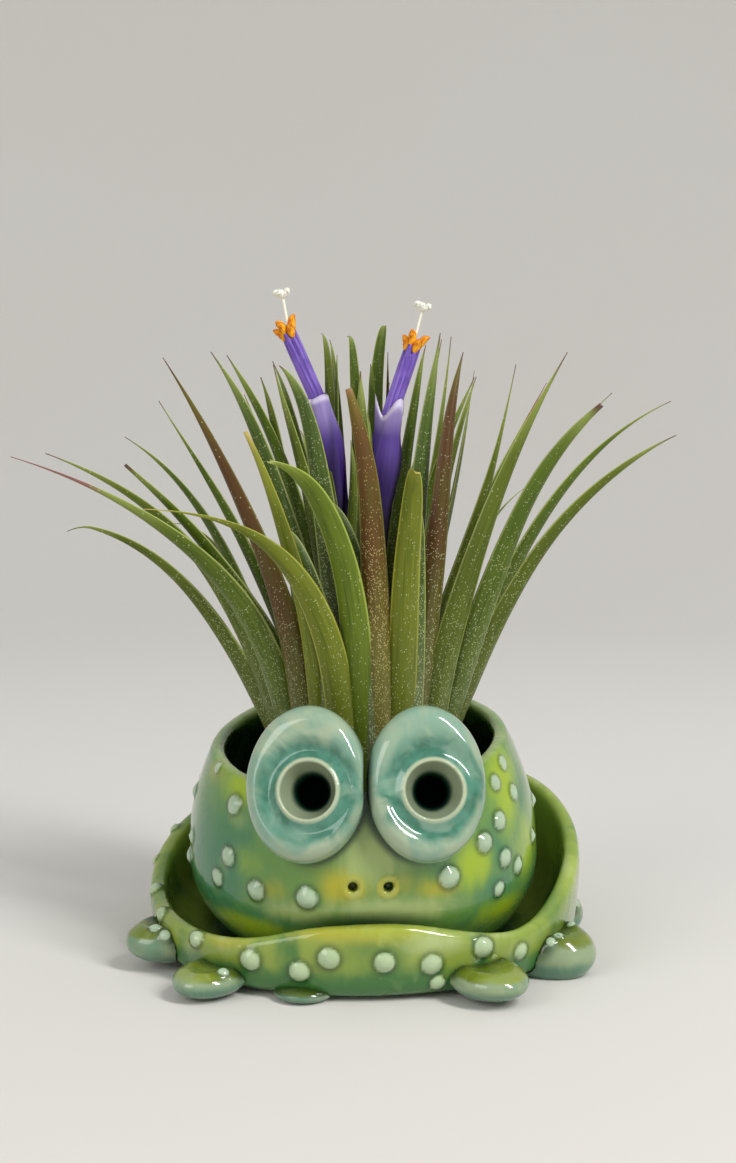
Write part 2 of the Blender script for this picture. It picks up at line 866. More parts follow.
@dataclass
class Pot:
    """The glazed pot: body, mouth, eyes and toes."""

    body_grain: float = 0.625 * MM
    body_rounds: int = 4
    body_wave: Span = (0.25 * MM, 13 * MM)
    face_line: float = -30 * MM
    nostril_sides: Span = (-2.05, 5.45)
    nostril_level: float = 24.2 * MM
    nostril_rim: float = 0.45 * MM
    nostril_hole: Fade = Fade(1.5 * MM, 0.9 * MM, 0.7)
    nostril_lip: Fade = Fade(0.9 * MM, 1.5 * MM)
    nostril_ring: Fade = Fade(2.9 * MM, 1.9 * MM)
    lip_shade: Fade = Fade(3.4 * MM, 0.6 * MM)
    eye_shade: Fade = Fade(2.3 * MM, 0.5 * MM, 0.92)
    body_hollows: Fade = Fade(-0.12 * MM, -0.55 * MM, 0.8)
    body_ridges: Fade = Fade(0.25 * MM, 0.8 * MM, 0.9)
    inner_facing: Fade = Fade(0.0, -0.5)
    inner_reach: Fade = Fade(26 * MM, 22 * MM)
    inner_level: Fade = Fade(51 * MM, 45 * MM)
    rim_level: Fade = Fade(44 * MM, 49 * MM)
    rim_reach: Fade = Fade(35.5 * MM, 37 * MM)
    rim_side: Fade = Fade(-30 * MM, 20 * MM, 0.3)
    inner_pool: float = 0.9
    rim_least: float = 0.7
    rim_cover: float = 0.8
    rim_pale: float = 0.35
    mouth_wave: Span = (0.25 * MM, 16 * MM)
    foot_facing: Fade = Fade(0.25, -0.3)
    foot_level: Fade = Fade(10 * MM, 5 * MM, 0.95)
    crest_facing: Fade = Fade(0.2, 0.85, 0.4)
    mouth_shade: Fade = Fade(5.0 * MM, 1.4 * MM)
    mouth_hollows: Fade = Fade(-0.2 * MM, -0.8 * MM, 0.7)
    mouth_ridges: Fade = Fade(0.3 * MM, 0.9 * MM, 0.8)
    eye_grain: float = 0.32 * MM
    eye_wave: Span = (0.12 * MM, 9 * MM)
    eye_front: float = 3.2
    worn_start: Fade = Fade(6.3, 6.9)
    worn_end: Fade = Fade(12.5, 10.5)
    dish_reach: float = 8.7
    dish_width: float = 1.8
    dish_depth: float = 0.65 * MM
    eye_side: Fade = Fade(2.2, 5.5)
    eye_back_reach: float = 8.0
    seam_between: Fade = Fade(2.4 * MM, 0.5 * MM)
    seam_below: Fade = Fade(1.5 * MM, 0.3 * MM)
    toe_grain: float = 0.36 * MM
    toe_wave: Span = (0.18 * MM, 8 * MM)
    toe_top: Fade = Fade(0.35, 0.7)
    toe_print: Fade = Fade(0.4, 0.8, 0.7)
    toe_print_level: Fade = Fade(2 * MM, 7 * MM)
    toe_hollows: Fade = Fade(0.15 * MM, -0.35 * MM)
    toe_least: float = 0.85
    toe_deeps: Fade = Fade(-0.35 * MM, -1.0 * MM)
    toe_ridges: Fade = Fade(0.12 * MM, 0.5 * MM, 0.9)
    toe_inner: Fade = Fade(11 * MM, 7 * MM)
    toe_outer: Fade = Fade(4 * MM, 8 * MM)
    toe_foot: Fade = Fade(5.5 * MM, 2.2 * MM, 0.9)
    toe_shade: Fade = Fade(4.2 * MM, 0.8 * MM)
    toe_shade_facing: Fade = Fade(-0.2, 0.5, 0.95)
    wart: Fade = Fade(0.95, 0.77)
    wart_ring: Fade = Fade(1.50, 0.90)
    toes: tuple[str, ...] = (
        "left_inner_toe", "left_front_toe", "left_side_toe",
        "right_front_toe", "right_side_toe", "right_back_toe",
    )
    eyes: tuple[EyePlace, ...] = (
        EyePlace("left_eye", (-11.7, -36.5, 45.6), -13),
        EyePlace("right_eye", (13.3, -36.5, 45.6), 5),
    )
    flow: GlazeFlow = field(default_factory=GlazeFlow)

    def build(self) -> None:
        """Makes every glazed piece."""
        self.make_body()
        self.make_mouth()
        self.make_eyes()
        self.make_toes()

    def spots(self, clay: ClayPiece, lumps: Sequence[tuple[np.ndarray, float]]) -> None:
        """Paints the pale warts and the dark rings that lie round them."""
        dot = np.zeros(len(clay.points))
        ring = np.zeros(len(clay.points))
        for middle, reach in lumps:
            away = np.linalg.norm(clay.points - middle, axis=1) / reach
            dot = np.maximum(dot, self.wart.on(away))
            ring = np.maximum(ring, self.wart_ring.on(away))
        clay.paint("dot", dot)
        clay.paint("ring", ring * (1 - dot))

    def runs(self, clay: ClayPiece, runs: Sequence[Run]) -> dict[str, np.ndarray]:
        """The strength of every tone at each point."""
        tones = {name: np.zeros(len(clay.points)) for name in ("cool", "warm", "bright", "pale")}
        for run in runs:
            tones[run.tone] = np.maximum(tones[run.tone], run.on(clay.points))
        return tones

    def make_body(self) -> None:
        """The round body with its warts."""
        nodes = ("pot_body", "pot_warts")
        clay = ClayPiece("glazed_body", nodes, self.body_grain, self.body_rounds)
        clay.stir(*self.body_wave)
        tones = self.runs(clay, BODY_RUNS)
        beside = np.array([
            np.hypot(clay.points[:, 0] - side * MM, clay.points[:, 2] - self.nostril_level)
            for side in self.nostril_sides
        ]).min(0)
        front = clay.points[:, 1] < self.face_line
        rim = self.nostril_lip.on(beside) * self.nostril_ring.on(beside) * front
        clay.points += clay.normals * (rim * self.nostril_rim)[:, None]
        clay.write()
        near_mouth = clay.away_from(("mouth_dish",), most=6 * MM)
        near_eyes = clay.away_from(("left_eye", "right_eye"), most=4 * MM)
        ridges = clay.averaged(clay.ridges(rounds=40), rounds=3)
        height = clay.points[:, 2]
        reach = np.hypot(clay.points[:, 0], clay.points[:, 1])
        around = clay.averaged(clay.normals, rounds=4)[:, :2]
        facing = (around * clay.points[:, :2]).sum(1) / np.maximum(reach, MM)
        inside = np.maximum(self.inner_facing.on(facing), self.inner_reach.on(reach))
        inside *= self.inner_level.on(height) * self.inner_pool
        pool = np.maximum(self.lip_shade.on(near_mouth), self.eye_shade.on(near_eyes))
        pool = np.maximum(pool, self.body_hollows.on(ridges))
        pool = np.maximum(pool, inside)
        pale = np.maximum(tones["pale"], self.body_ridges.on(ridges))
        edge = self.rim_level.on(height) * self.rim_reach.on(reach)
        edge *= self.rim_least + self.rim_side.on(clay.points[:, 0])
        tones["pool"] = np.maximum(pool, self.nostril_hole.on(beside) * front)
        tones["warm"] = np.maximum(tones["warm"], rim)
        tones["pale"] = np.maximum(pale * (1 - rim * self.rim_cover), rim * self.rim_pale)
        tones["bright"] = np.maximum(tones["bright"], edge)
        for name, values in tones.items():
            clay.paint(name, values)
        self.spots(clay, islands("pot_warts"))
        clay.hand_over(BODY_GLAZE.material(self.flow), BODY_GLAZE.slot)

    def make_mouth(self) -> None:
        """The dish under the body, whose lip is the mouth."""
        nodes = ("mouth_dish", "lip_warts")
        clay = ClayPiece("glazed_mouth", nodes, self.body_grain, self.body_rounds)
        clay.stir(*self.mouth_wave)
        tones = self.runs(clay, MOUTH_RUNS)
        near_body = clay.away_from(("pot_body",), most=8 * MM)
        ridges = clay.averaged(clay.ridges(rounds=30), rounds=3)
        upward = clay.averaged(clay.normals, rounds=6)[:, 2]
        foot = self.foot_facing.on(upward) * self.foot_level.on(clay.points[:, 2])
        tones["cool"] = np.maximum(tones["cool"], foot)
        tones["bright"] = np.maximum(tones["bright"], self.crest_facing.on(upward))
        tones["pale"] = np.maximum(tones["pale"], self.mouth_ridges.on(ridges))
        tones["pool"] = np.maximum(
            self.mouth_shade.on(near_body), self.mouth_hollows.on(ridges),
        )
        for name, values in tones.items():
            clay.paint(name, values)
        self.spots(clay, islands("lip_warts"))
        clay.hand_over(MOUTH_GLAZE.material(self.flow), MOUTH_GLAZE.slot)

    def make_eyes(self) -> None:
        """The two pillow-shaped eyes with their cupped pupils."""
        finish = EyeFinish().material()
        for eye in self.eyes:
            clay = ClayPiece(f"glazed_{eye.node}", (eye.node,), self.eye_grain, rounds=8)
            clay.stir(*self.eye_wave)
            own = eye.local(clay.points)
            depth = own[:, 1]
            reach = np.hypot(own[:, 0] - eye.pupil[0], own[:, 2] - eye.pupil[1])
            front = depth < self.eye_front
            worn = self.worn_start.on(reach) * self.worn_end.on(reach) * front
            smooth = clay.averaged(clay.points, rounds=60)
            clay.points += (smooth - clay.points) * worn[:, None]
            ring = np.exp(-((reach - self.dish_reach) / self.dish_width) ** 2)
            clay.points += eye.way()[:, 1] * (ring * self.dish_depth * front)[:, None]
            clay.write()
            clay.note("reach", reach)
            clay.note("depth", depth)
            back = reach > self.eye_back_reach
            clay.paint("side", self.eye_side.on(depth) * back)
            other = [place.node for place in self.eyes if place.node != eye.node]
            beside = clay.away_from(other, most=4 * MM)
            below = clay.away_from(("pot_body",), most=3 * MM)
            seam = np.maximum(self.seam_between.on(beside), self.seam_below.on(below))
            clay.paint("seam", seam * back)
            clay.hand_over(finish, "eye_glaze")

    def nearest_toe(self, spot: np.ndarray) -> str:
        """The toe whose box has its middle nearest to a spot."""
        def gap(node: str) -> float:
            """How far the spot is from the middle of a toe's box."""
            low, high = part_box(node)
            return (Vector(spot) - (low + high) / 2).length

        return min(self.toes, key=gap)

    def make_toes(self) -> None:
        """The toes with their thumb prints and warts."""
        finish = TOE_GLAZE.material(self.flow)
        lumps = islands("toe_warts")
        owners = [self.nearest_toe(middle) for middle, _ in lumps]
        for node in self.toes:
            own = [lump for lump, owner in zip(lumps, owners) if owner == node]
            clay = ToePiece(node, own, self.toe_grain)
            clay.stir(*self.toe_wave)
            upward = clay.averaged(clay.normals, rounds=8)[:, 2]
            ridges = clay.averaged(clay.ridges(rounds=30), rounds=2)
            near_lip = clay.away_from(("mouth_dish",), most=12 * MM)
            height = clay.points[:, 2]
            hollow = np.maximum(self.toe_hollows.on(ridges), self.toe_least)
            top = self.toe_top.on(upward) * hollow
            edge = self.toe_print.on(upward) * self.toe_print_level.on(height)
            pool = np.maximum(self.toe_shade.on(near_lip), self.toe_deeps.on(ridges))
            clay.paint("warm", top * self.toe_inner.on(near_lip))
            clay.paint("bright", edge * self.toe_outer.on(near_lip))
            clay.paint("cool", self.toe_foot.on(height))
            clay.paint("pale", self.toe_ridges.on(ridges))
            clay.paint("pool", pool * self.toe_shade_facing.on(upward))
            self.spots(clay, own)
            clay.hand_over(finish, TOE_GLAZE.slot)


class ToePiece(ClayPiece):
    """A toe with the warts that sit on it."""

    def __init__(self, node: str, lumps: Sequence[tuple[np.ndarray, float]], grain: float) -> None:
        """Makes the skin over one toe and its own warts.

        Args:
            node: The toe's node.
            lumps: Middles and sizes of the warts on it.
            grain: Size of the skin's mesh.
        """
        self.nodes = (node, "toe_warts") if lumps else (node,)
        shape = bmesh.new()
        shape.from_mesh(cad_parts[node].data)
        if lumps:
            add_drops(shape, node, "toe_warts", lambda spot: any(
                (spot - Vector(middle)).length < reach for middle, reach in lumps
            ))
        self.finish_shape(f"glazed_{node}", shape, grain, 7)


PlaceRule = Callable[[float, float], tuple[Vector, Spot]]


def new_piece(name: str, shape: bmesh.types.BMesh) -> bpy.types.Object:
    """A smooth-shaded object of a shape, which is used up."""
    mesh = bpy.data.meshes.new(name)
    shape.to_mesh(mesh)
    shape.free()
    mesh.shade_smooth()
    piece = bpy.data.objects.new(name, mesh)
    bpy.context.scene.collection.objects.link(piece)
    return piece


def wrapped(name: str, around: int, along: int, rule: PlaceRule) -> bpy.types.Object:
    """A sheet of faces wrapped round into a closed skin.

    Args:
        name: The piece's name.
        around: Faces round the skin.
        along: Faces along it.
        rule: Gives the place, and the skin attribute, for a turn and a share of the length.

    Returns:
        The new object, closed at both ends.
    """
    shape = bmesh.new()
    bmesh.ops.create_grid(shape, x_segments=around, y_segments=along, size=0.5)
    skin = shape.verts.layers.float_vector.new("skin")
    for vertex in shape.verts:
        place, marks = rule(vertex.co.x + 0.5, vertex.co.y + 0.5)
        vertex.co = place
        vertex[skin] = marks
    bmesh.ops.remove_doubles(shape, verts=shape.verts, dist=SEAM)
    bmesh.ops.holes_fill(shape, edges=shape.edges, sides=0)
    bmesh.ops.recalc_face_normals(shape, faces=shape.faces)
    return new_piece(name, shape)


def joined_piece(name: str, parts: Sequence[bpy.types.Object]) -> bpy.types.Object:
    """Several objects as one.

    Args:
        name: The name of the one piece.
        parts: Objects at the origin.

    Returns:
        The one piece.
    """
    shape = bmesh.new()
    for part in parts:
        shape.from_mesh(part.data)
    piece = new_piece(name, shape)
    for part in parts:
        old = part.data
        bpy.data.objects.remove(part)
        bpy.data.meshes.remove(old)
    return piece


def bend(controls: Sequence[Vector], share: float) -> tuple[Vector, Vector]:
    """A point of the cubic curve of four control points, and its heading."""
    rest = 1 - share
    point = (
        controls[0] * rest ** 3
        + controls[1] * (3 * rest ** 2 * share)
        + controls[2] * (3 * rest * share ** 2)
        + controls[3] * share ** 3
    )
    heading = (
        (controls[1] - controls[0]) * rest ** 2
        + (controls[2] - controls[1]) * (2 * rest * share)
        + (controls[3] - controls[2]) * share ** 2
    )
    return point, heading.normalized()


class LeafSkin:
    """The effect of a leaf's skin: long streaks, pale edges, silver fuzz and a dried tip."""

    tones = ("Deep", "Light", "Edge", "Blush", "Dry", "Fuzz")
    shares = ("Blush Share", "Fuzz Share", "Dry Start")
    grain_stretch = (3.2, 0.07, 3.0)
    patch_stretch = (0.35, 0.05, 5.0)
    dot_stretch = (1.0, 0.9, 0.0)
    dot_scale = 2.7
    least_half = 0.05
    grain_range = (0.2, 0.85)
    patch_range = (0.35, 0.7, 0.0, 0.55)
    blush_patches = (0.25, 0.6, 0.6, 1.0)
    blush_run = (0.33, 0.62, 0.1, 1.0)
    rim_range = (0.84, 0.97)
    rim_run = (0.05, 0.3)
    rim_share = 0.75
    shaded_run = (0.55, 0.12)
    shaded_share = 0.55
    root_run = (0.14, 0.0)
    root_share = 0.6
    ragged = 0.05
    yellowing_run = (-0.14, 0.0)
    yellowing_share = 0.35
    drying_run = (-0.01, 0.035)
    fuzz_run = (0.85, 0.25, 0.1, 1.7)
    fuzz_patches = (0.3, 0.62, 0.75, 1.3)
    dot_range = (0.40, 0.20)
    dot_share = 0.64
    film_run = (0.6, 0.15)
    film_share = 0.2
    roughness = (0.42, 0.3)
    height_shares = (0.7, 0.3)

    def __init__(self) -> None:
        """Builds the group once."""
        ports = [Port("Skin", VECTOR_PORT)]
        ports += [Port(tone, COLOUR_PORT) for tone in self.tones]
        ports += [Port(share, NUMBER_PORT, 0.0) for share in self.shares]
        self.group, wires = new_group("leaf skin", ports, SURFACE_PORTS)
        given = wires.add("NodeGroupInput").outputs
        parts = wires.add("ShaderNodeSeparateXYZ")
        wires.feed(parts.inputs[0], given["Skin"])
        across, _, share = parts.outputs
        along_grain = wires.stretched(given["Skin"], self.grain_stretch)
        grain = wires.clouds(along_grain, scale=1.0, detail=3)
        along_patches = wires.stretched(given["Skin"], self.patch_stretch)
        patches = wires.clouds(along_patches, scale=1.0, detail=2)
        tone = self.body(wires, given, share, (grain, patches))
        tone = self.edges(wires, given, (across, share), tone)
        tone = self.tip(wires, given, (share, grain), tone)
        dots = self.dots(wires, given, share, patches)
        film = wires.times(given["Fuzz Share"], wires.step(share, *self.film_run))
        tone = wires.blend(wires.times(film, self.film_share), tone, given["Fuzz"])
        tone = wires.blend(wires.times(dots, self.dot_share), tone, given["Fuzz"])
        smooth, rougher = self.roughness
        dot_height, grain_height = self.height_shares
        made = wires.add("NodeGroupOutput").inputs
        wires.feed(made["Color"], tone)
        wires.feed(made["Roughness"], wires.sum("ADD", smooth, wires.times(dots, rougher)))
        wires.feed(made["Height"], wires.sum(
            "ADD", wires.times(dots, dot_height), wires.times(grain, grain_height),
        ))

    def body(
        self, wires: Wiring, given: Sequence[Socket], share: Socket, noises: tuple[Socket, Socket],
    ) -> Socket:
        """The leaf's own greens and its reddish blush.

        Args:
            wires: The group's wiring.
            given: What goes into the group.
            share: Share of the leaf's length.
            noises: Its fine grain and its patches.

        Returns:
            The colour.
        """
        grain, patches = noises
        tone = wires.blend(wires.step(grain, *self.grain_range), given["Deep"], given["Light"])
        tone = wires.blend(wires.step(patches, *self.patch_range), tone, given["Light"])
        blush = wires.times(given["Blush Share"], wires.step(patches, *self.blush_patches))
        blush = wires.times(blush, wires.step(share, *self.blush_run))
        return wires.blend(blush, tone, given["Blush"])

    def edges(
        self, wires: Wiring, given: Sequence[Socket], place: tuple[Socket, Socket], tone: Socket,
    ) -> Socket:
        """Pale edges, a shaded lower part and a pale root.

        Args:
            wires: The group's wiring.
            given: What goes into the group.
            place: Distance across the leaf, and share of its length.
            tone: The colour so far.

        Returns:
            The colour.
        """
        across, share = place
        half = wires.sum("MAXIMUM", wires.number("half"), self.least_half)
        edge = wires.sum("DIVIDE", wires.sum("ABSOLUTE", across), half)
        rim = wires.times(wires.step(edge, *self.rim_range), wires.step(share, *self.rim_run))
        tone = wires.blend(wires.times(rim, self.rim_share), tone, given["Edge"])
        shaded = wires.times(wires.step(share, *self.shaded_run), self.shaded_share)
        tone = wires.blend(shaded, tone, given["Deep"])
        root = wires.times(wires.step(share, *self.root_run), self.root_share)
        return wires.blend(root, tone, given["Edge"])

    def tip(
        self, wires: Wiring, given: Sequence[Socket], place: tuple[Socket, Socket], tone: Socket,
    ) -> Socket:
        """A yellowing, then dried, tip with a ragged border.

        Args:
            wires: The group's wiring.
            given: What goes into the group.
            place: Share of the leaf's length, and its fine grain.
            tone: The colour so far.

        Returns:
            The colour.
        """
        share, grain = place
        stir = wires.times(wires.sum("SUBTRACT", grain, 0.5), self.ragged)
        ragged = wires.sum("ADD", share, stir)
        yellowing, drying = (
            wires.step(ragged, *(wires.sum("ADD", given["Dry Start"], end) for end in run))
            for run in (self.yellowing_run, self.drying_run)
        )
        tone = wires.blend(wires.times(yellowing, self.yellowing_share), tone, given["Edge"])
        return wires.blend(drying, tone, given["Dry"])

    def dots(
        self, wires: Wiring, given: Sequence[Socket], share: Socket, patches: Socket,
    ) -> Socket:
        """Fine dots of fuzz, dense low on the leaf.

        Args:
            wires: The group's wiring.
            given: What goes into the group.
            share: Share of the leaf's length.
            patches: Its patches.

        Returns:
            A mask of the dots.
        """
        place = wires.stretched(given["Skin"], self.dot_stretch)
        away, chance = wires.cells(place, self.dot_scale)
        parted = wires.add("ShaderNodeSeparateColor")
        wires.feed(parted.inputs[0], chance)
        cover = wires.times(given["Fuzz Share"], wires.step(share, *self.fuzz_run))
        cover = wires.times(cover, wires.step(patches, *self.fuzz_patches))
        chosen = wires.sum("LESS_THAN", parted.outputs[0], cover)
        return wires.times(wires.step(away, *self.dot_range), chosen)


@dataclass(frozen=True)
class LeafTone:
    """The colours of one kind of leaf and how much blush and fuzz it has."""

    name: str
    deep: Colour
    light: Colour
    edge: Colour = colour(176, 186, 104)
    blush: Colour = colour(112, 62, 34)
    dry: Colour = colour(88, 62, 48)
    fuzz: Colour = colour(196, 200, 156)
    blush_share: float = 0.0
    fuzz_share: float = 0.3
    dry_start: float = 0.965
    relief: float = 0.06 * MM
    relief_strength: float = 0.7
    shine: float = 0.3

    def material(self, skin: LeafSkin) -> bpy.types.Material:
        """The finish with its shader nodes.

        Args:
            skin: The leaf effect that it places.

        Returns:
            The material.
        """
        made, wires = new_finish(self.name)
        effect = wires.add("ShaderNodeGroup", node_tree=skin.group)
        wires.feed(effect.inputs["Skin"], wires.vector("skin"))
        for socket in skin.tones + skin.shares:
            value = getattr(self, socket.lower().replace(" ", "_"))
            effect.inputs[socket].default_value = value
        shader = wires.dress(
            effect.outputs["Color"], effect.outputs["Height"], self.relief, self.relief_strength,
        )
        wires.feed(shader.inputs["Roughness"], effect.outputs["Roughness"])
        shader.inputs["Specular IOR Level"].default_value = self.shine
        return made


OLIVE = LeafTone("olive leaf", colour(54, 68, 4), colour(90, 104, 18), fuzz_share=0.4)
GREEN = LeafTone("green leaf", colour(50, 70, 4), colour(84, 104, 16), fuzz_share=0.45)
BRIGHT = LeafTone(
    "bright leaf", colour(62, 82, 4), colour(98, 116, 18),
    edge=colour(170, 186, 84), dry=colour(196, 200, 120), fuzz_share=0.12, dry_start=0.975,
)
YELLOW = LeafTone(
    "yellow green leaf", colour(76, 88, 4), colour(108, 116, 20),
    edge=colour(176, 176, 74), dry=colour(180, 162, 84), fuzz_share=0.18, dry_start=0.96,
)
BRONZE = LeafTone(
    "bronze leaf", colour(56, 60, 8), colour(92, 96, 20),
    edge=colour(120, 118, 42), blush=colour(76, 40, 16), dry=colour(80, 44, 32),
    blush_share=0.86, fuzz_share=0.4,
)
GOLDEN = LeafTone(
    "bronze leaf with golden dots", colour(62, 68, 8), colour(96, 98, 20),
    edge=colour(132, 128, 40), blush=colour(88, 50, 18), dry=colour(136, 104, 66),
    fuzz=colour(206, 190, 128), blush_share=0.84, fuzz_share=0.8,
)
SILVER = LeafTone("silver dotted leaf", colour(40, 58, 6), colour(76, 96, 30), fuzz_share=1.0)
GREY = LeafTone(
    "grey back leaf", colour(62, 72, 36), colour(92, 100, 58),
    dry=colour(112, 104, 90), fuzz_share=0.6,
)
PINK_TIP = LeafTone(
    "leaf with a pinkish tip", colour(54, 72, 4), colour(90, 108, 20),
    dry=colour(134, 90, 82), fuzz_share=0.35, dry_start=0.88,
)


class Ring(Enum):
    """Where the leaves of a ring leave the bulb and pass the pot's mouth."""

    FRONT = (0.94, 0.44, 1.83, 1.12)
    OUTER = (0.92, 0.48, 1.69, 1.16)
    MIDDLE = (0.73, 0.72, 1.04, 1.32)
    INNER = (0.35, 0.84, 0.50, 1.44)


class Tip(Enum):
    """How a leaf ends: the widths at the last steps, in shares of the leaf's width."""

    POINTED = (0.86, 0.66, 0.38, 0.035)
    SLENDER = (0.84, 0.66, 0.42, 0.04)
    THREAD = (0.84, 0.56, 0.22, 0.03)
    ROUNDED = (0.94, 0.84, 0.66, 0.26)
    BLUNT = (0.90, 0.74, 0.50, 0.26)
    CUT = (0.86, 0.72, 0.50, 0.24)


@dataclass(frozen=True)
class Leaf:
    """One leaf: its ring, turns, reach and level of the tip, bend, width, tone and kind of tip."""

    ring: Ring
    root_turn: float
    tip_turn: float
    reach: float
    level: float
    bend_out: float
    bend_up: float
    width: float
    tone: LeafTone
    tip: Tip = Tip.POINTED
    hook: float = 0.0


OUTER_LEAVES = (
    Leaf(Ring.OUTER, 0.444, 0.458, 0.72, 0.83, 0.16, 0.70, 0.90, GREEN),
    Leaf(Ring.OUTER, 0.500, 0.512, 0.83, 0.70, 0.34, 0.90, 0.85, OLIVE, Tip.POINTED, 2.0),
    Leaf(Ring.OUTER, 0.545, 0.505, 0.89, 0.81, 0.08, 0.70, 0.85, OLIVE),
    Leaf(Ring.OUTER, 0.592, 0.545, 0.98, 0.81, -0.06, 0.64, 1.00, PINK_TIP, Tip.THREAD),
    Leaf(Ring.OUTER, 0.636, 0.550, 0.57, 0.96, -0.14, 0.32, 0.95, BRONZE),
    Leaf(Ring.OUTER, 0.675, 0.628, 0.45, 0.85, -0.08, 0.42, 0.80, YELLOW, Tip.BLUNT),
    Leaf(Ring.FRONT, 0.711, 0.607, 0.72, 0.74, -0.18, 0.93, 1.00, YELLOW, Tip.THREAD),
    Leaf(Ring.OUTER, 0.744, 0.671, 0.51, 0.81, -0.14, 0.89, 1.05, BRIGHT, Tip.ROUNDED),
    Leaf(Ring.OUTER, 0.784, 0.730, 0.28, 0.915, 0.20, 0.75, 1.00, GOLDEN, Tip.BLUNT),
    Leaf(Ring.OUTER, 0.821, 0.809, 0.40, 0.79, 0.10, 1.10, 1.00, YELLOW, Tip.BLUNT),
    Leaf(Ring.OUTER, 0.856, 0.972, 0.28, 0.97, 0.38, 0.73, 0.85, BRONZE),
    Leaf(Ring.OUTER, 0.900, 0.951, 0.58, 0.97, -0.08, 0.32, 1.00, OLIVE),
    Leaf(Ring.OUTER, 0.942, 0.946, 0.68, 0.89, 0.34, 0.75, 0.90, GREEN, Tip.CUT),
    Leaf(Ring.OUTER, 0.983, 0.977, 0.87, 0.84, 0.29, 0.74, 0.90, OLIVE),
    Leaf(Ring.OUTER, 0.033, 0.026, 0.90, 0.89, 0.30, 0.78, 0.90, GREEN, Tip.THREAD),
    Leaf(Ring.OUTER, 0.089, 0.066, 0.81, 0.90, 0.39, 0.69, 0.90, OLIVE, Tip.THREAD),
    Leaf(Ring.OUTER, 0.150, 0.133, 0.76, 0.73, 0.35, 0.80, 0.90, GREY, Tip.THREAD),
    Leaf(Ring.OUTER, 0.222, 0.200, 0.68, 0.83, 0.33, 0.75, 0.95, GREEN),
    Leaf(Ring.OUTER, 0.300, 0.299, 0.66, 0.83, 0.30, 0.80, 0.95, OLIVE),
    Leaf(Ring.OUTER, 0.375, 0.392, 0.76, 0.67, 0.45, 1.05, 0.90, GREY, Tip.THREAD),
)
MIDDLE_LEAVES = (
    Leaf(Ring.MIDDLE, 0.520, 0.500, 0.67, 0.79, 0.45, 0.56, 0.85, GREEN, Tip.BLUNT),
    Leaf(Ring.MIDDLE, 0.439, 0.467, 0.60, 0.89, 0.45, 0.52, 0.85, GREEN, Tip.THREAD),
    Leaf(Ring.MIDDLE, 0.611, 0.538, 0.43, 0.97, 0.10, 0.56, 0.90, SILVER, Tip.SLENDER),
    Leaf(Ring.MIDDLE, 0.694, 0.592, 0.27, 0.95, 0.21, 0.88, 0.90, SILVER, Tip.SLENDER),
    Leaf(Ring.MIDDLE, 0.764, 0.742, 0.11, 0.94, 0.33, 0.72, 0.80, OLIVE, Tip.SLENDER),
    Leaf(Ring.MIDDLE, 0.847, 0.955, 0.22, 1.00, 0.47, 0.52, 0.90, SILVER, Tip.SLENDER),
    Leaf(Ring.MIDDLE, 0.933, 0.000, 0.43, 0.95, 0.56, 0.30, 0.90, OLIVE, Tip.THREAD),
    Leaf(Ring.MIDDLE, 0.028, 0.051, 0.56, 0.92, 0.44, 0.56, 0.85, PINK_TIP, Tip.THREAD),
    Leaf(Ring.MIDDLE, 0.125, 0.088, 0.38, 0.94, 0.56, 0.26, 0.85, GREY, Tip.SLENDER),
    Leaf(Ring.MIDDLE, 0.228, 0.199, 0.21, 1.01, 0.15, 1.10, 0.80, GREEN, Tip.SLENDER),
    Leaf(Ring.MIDDLE, 0.328, 0.337, 0.23, 1.00, 0.15, 1.00, 0.80, OLIVE, Tip.SLENDER),
)
INNER_LEAVES = (
    Leaf(Ring.INNER, 0.555, 0.500, 0.38, 0.965, 0.38, 0.66, 0.80, GREEN, Tip.SLENDER),
    Leaf(Ring.INNER, 0.680, 0.524, 0.25, 0.95, 0.50, 0.46, 0.80, OLIVE, Tip.SLENDER),
    Leaf(Ring.INNER, 0.110, 0.060, 0.075, 0.97, 0.41, 0.75, 0.65, BRONZE, Tip.SLENDER),
    Leaf(Ring.INNER, 0.917, 0.023, 0.18, 0.98, 0.39, 0.71, 0.80, GREEN, Tip.SLENDER),
    Leaf(Ring.INNER, 0.042, 0.047, 0.26, 0.995, 0.60, 0.20, 0.80, OLIVE, Tip.SLENDER),
    Leaf(Ring.INNER, 0.250, 0.318, 0.11, 0.995, 0.17, 1.06, 0.70, GREEN, Tip.SLENDER),
)
